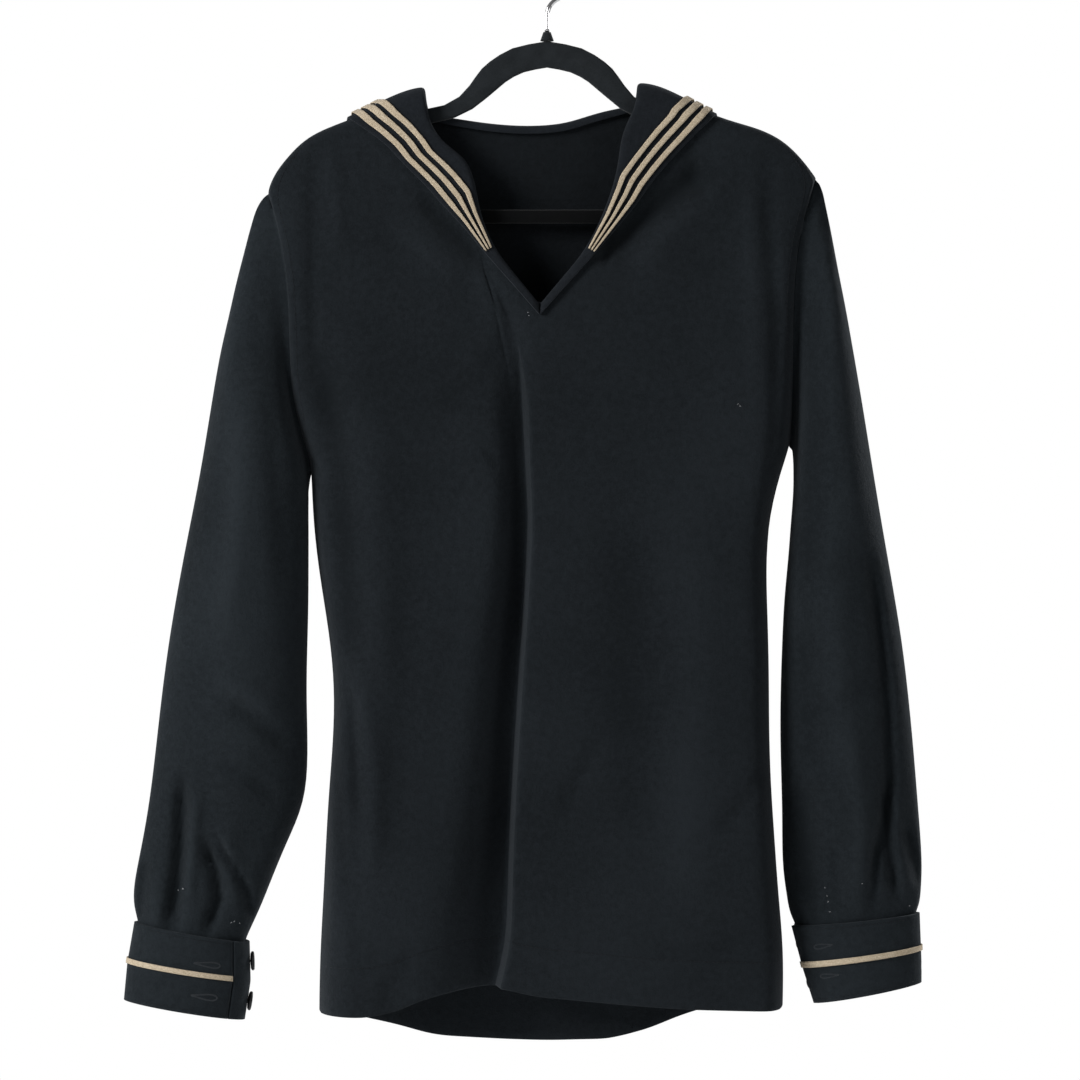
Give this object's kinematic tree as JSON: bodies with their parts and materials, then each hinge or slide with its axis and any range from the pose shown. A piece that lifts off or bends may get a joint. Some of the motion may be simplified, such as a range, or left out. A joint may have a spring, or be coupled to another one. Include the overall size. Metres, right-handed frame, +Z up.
{
  "type": "sailor jumper on hanger",
  "caption": "Wool sailor jumper with V neck, taped square collar and buttoned cuffs, hanging on a flat flocked hanger with a wire hook.",
  "frame": {"origin": "inside top of the hook's bowl, where a rail carries it", "axes": "+Z up, -Y towards the viewer who sees the garment's front, +X to that viewer's right; the hanger lies in the plane y = 0"},
  "size_m": [0.6234, 0.0814, 0.8534],
  "materials": {
    "melton_wool": "matt brushed wool",
    "melton_collar": "matt pressed wool",
    "woven_tape": "plain woven cream tape",
    "black_button": "satin black",
    "flocked_board": "black flock",
    "plated_wire": "bright"
  },
  "bodies": {
    "root": {"front": "melton_wool", "back": "melton_wool", "sleeve_left": "melton_wool", "sleeve_right": "melton_wool", "cuff_left": "melton_wool", "cuff_right": "melton_wool", "collar": "melton_collar", "collar_tape_outer": "woven_tape", "collar_tape_middle": "woven_tape", "collar_tape_inner": "woven_tape", "cuff_tape_left": "woven_tape", "cuff_tape_right": "woven_tape", "button_left_upper": "black_button", "button_left_lower": "black_button", "button_right_upper": "black_button", "button_right_lower": "black_button", "hanger": "flocked_board", "hook_socket": "flocked_board", "hook": "plated_wire"}
  },
  "joints": []
}
